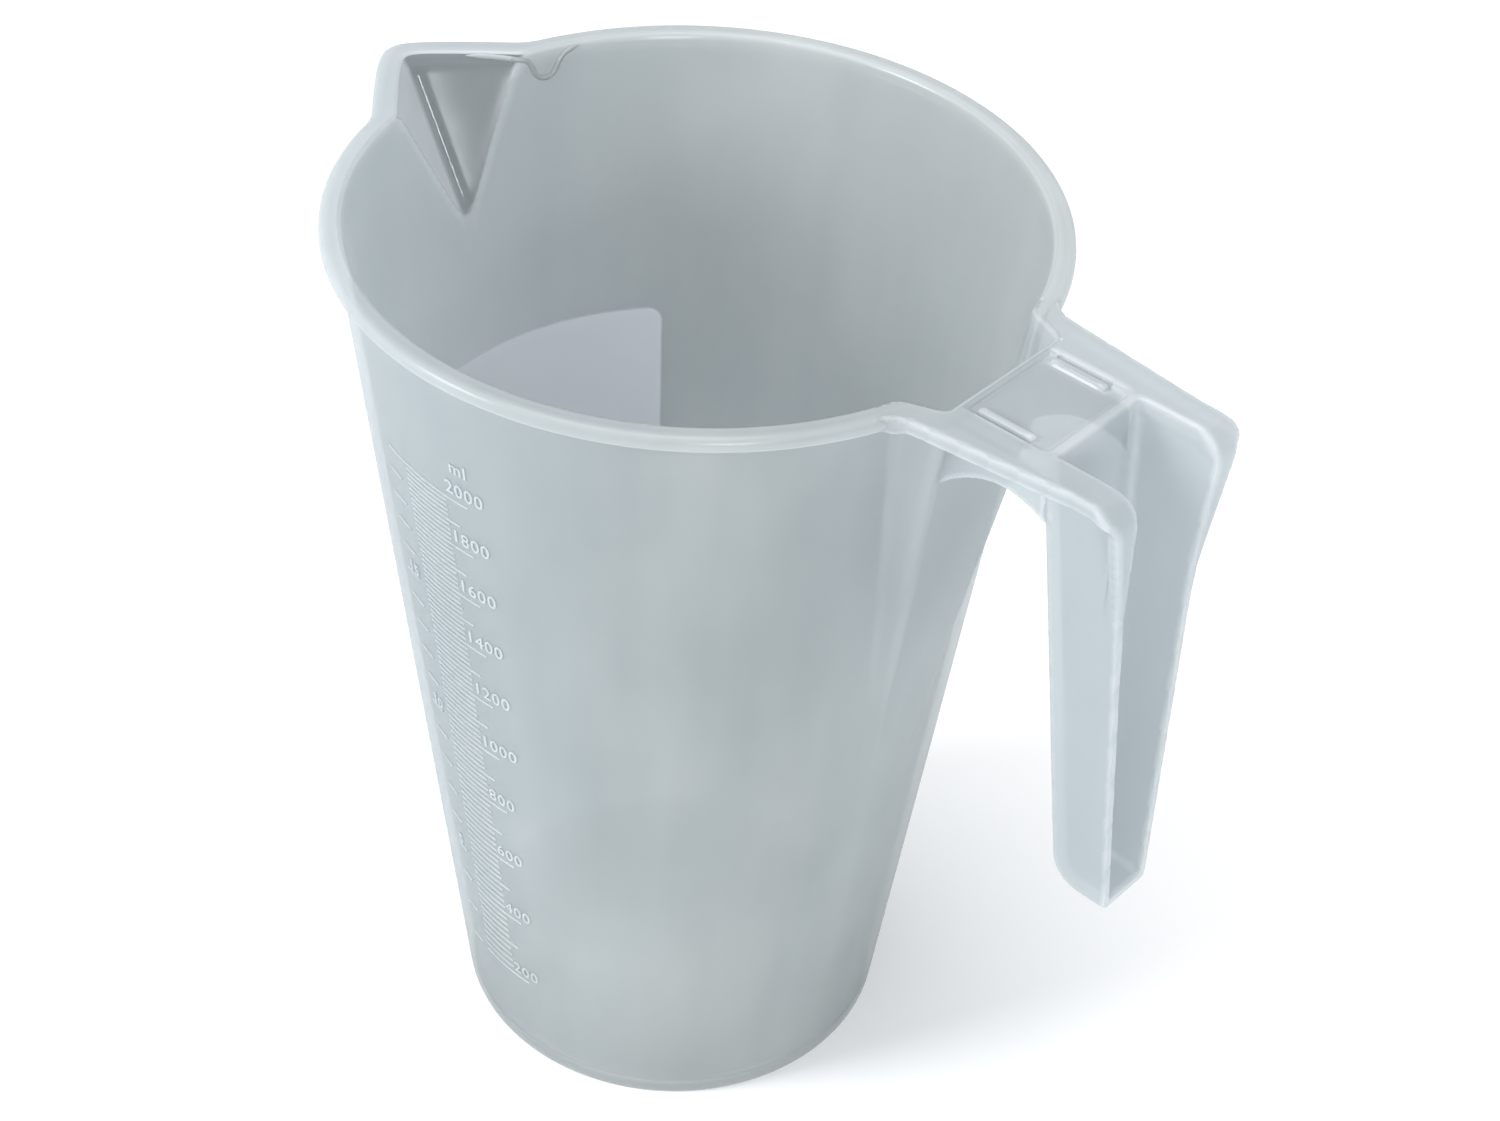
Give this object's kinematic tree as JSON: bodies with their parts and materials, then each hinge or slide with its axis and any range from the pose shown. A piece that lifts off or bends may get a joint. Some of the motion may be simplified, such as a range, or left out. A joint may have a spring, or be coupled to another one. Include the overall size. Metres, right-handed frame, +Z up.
{
  "type": "measuring jug",
  "caption": "Tapered translucent plastic measuring jug with a pouring spout, an open channel handle, raised graduations and a blank label.",
  "frame": {"origin": "centre of the foot on the plane that the jug stands on, on the axis of its round wall", "axes": "+Z up along the jug's axis, +X towards the handle, -X towards the pouring spout; the main scale faces -Y"},
  "size_m": [0.2203, 0.156, 0.219],
  "materials": {
    "polypropylene": "natural milky translucent moulding, satin",
    "label": "plain white paper, matt"
  },
  "bodies": {
    "root": {"jug_wall": "polypropylene", "base_floor": "polypropylene", "foot_ring": "polypropylene", "pouring_spout": "polypropylene", "handle_bay": "polypropylene", "rim_bead": "polypropylene", "rim_tongue": "polypropylene", "handle_arm_left": "polypropylene", "side_flange_left": "polypropylene", "handle_cheek_left": "polypropylene", "bridge_skirt_left": "polypropylene", "handle_arm_right": "polypropylene", "side_flange_right": "polypropylene", "handle_cheek_right": "polypropylene", "bridge_skirt_right": "polypropylene", "handle_web": "polypropylene", "handle_toe": "polypropylene", "bridge_plate": "polypropylene", "stacking_ribs": "polypropylene", "graduation_lines": "polypropylene", "graduation_numerals": "polypropylene", "second_scale": "polypropylene", "label": "label"}
  },
  "joints": []
}
